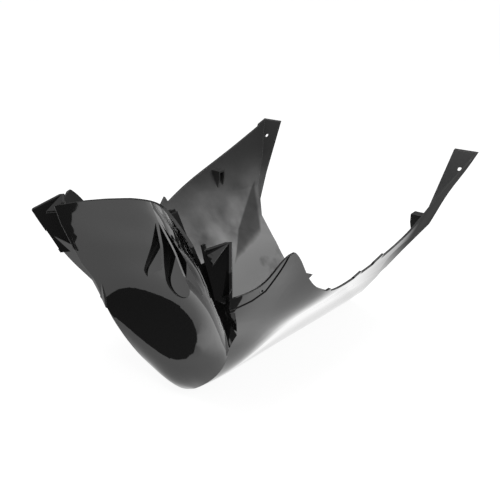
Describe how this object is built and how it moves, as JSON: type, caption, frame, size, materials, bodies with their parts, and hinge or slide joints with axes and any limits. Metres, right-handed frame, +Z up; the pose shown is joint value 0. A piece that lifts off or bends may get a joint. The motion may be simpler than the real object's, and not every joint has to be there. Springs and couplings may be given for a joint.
{
  "type": "underbody tray",
  "caption": "Deep V-shaped moulded belly tray of a motor scooter, open at the top and rear, with a concave glossy nose panel, horned shoulders and a lobed vent recess.",
  "frame": {"origin": "on the tray's mid-plane, at the level of the flat keel strip it stands on, amidships", "axes": "+X forward to the nose panel, +Y to the left side, +Z up"},
  "size_m": [0.4561, 0.3302, 0.223],
  "materials": {
    "shell": "gloss black outside, satin dark grey inside"
  },
  "bodies": {
    "root": {"underbody_tray": "shell"}
  },
  "joints": []
}
